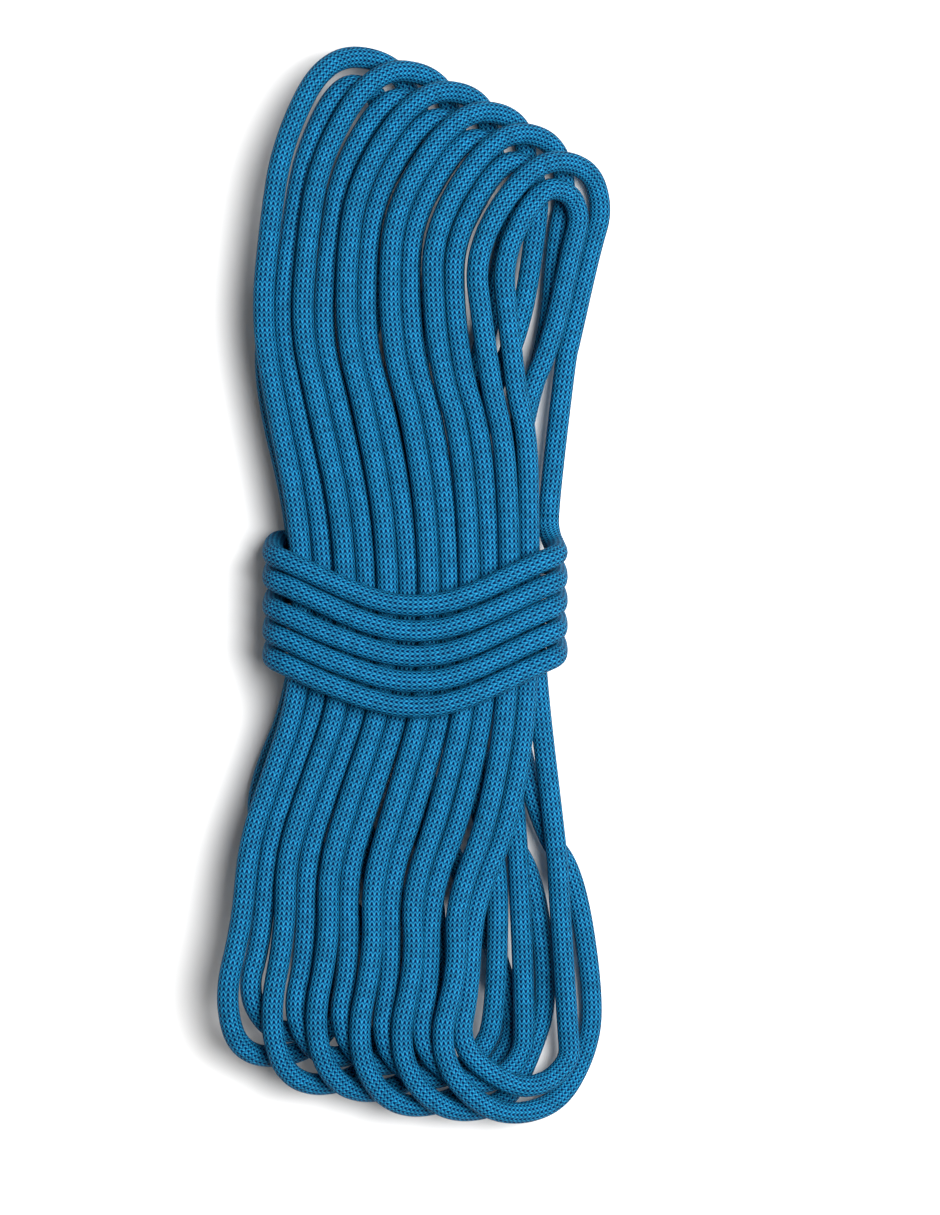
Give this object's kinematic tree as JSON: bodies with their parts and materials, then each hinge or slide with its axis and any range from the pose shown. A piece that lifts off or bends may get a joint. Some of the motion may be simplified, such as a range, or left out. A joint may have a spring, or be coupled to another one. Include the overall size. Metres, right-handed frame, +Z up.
{
  "type": "dynamic climbing rope",
  "caption": "Dynamic climbing rope coiled into a flat hank, its loops drawn in at the waist by wraps of the same rope, with both ends tucked away.",
  "frame": {"origin": "on the surface the hank lies on, under the middle of its bounding box", "axes": "+Y along the hank, towards the looped end that the wraps stand nearer to; +Z up from the surface it lies on"},
  "size_m": [0.1775, 0.4708, 0.0595],
  "materials": {
    "rope_sheath": "braided polyamide yarn, dry to the touch",
    "rope_core": "twisted polyamide strands",
    "end_sleeve": "shrunk film, satin",
    "fused_tip": "melted polyamide, dull"
  },
  "bodies": {
    "rope": {"rope_hank": "rope_sheath", "rope_wraps": "rope_sheath", "tucked_end_sheath": "rope_sheath", "tucked_end_core": "rope_core", "tucked_end_sleeve": "end_sleeve", "tucked_end_tip": "fused_tip", "under_end_sheath": "rope_sheath", "under_end_core": "rope_core", "under_end_sleeve": "end_sleeve", "under_end_tip": "fused_tip"}
  },
  "joints": []
}
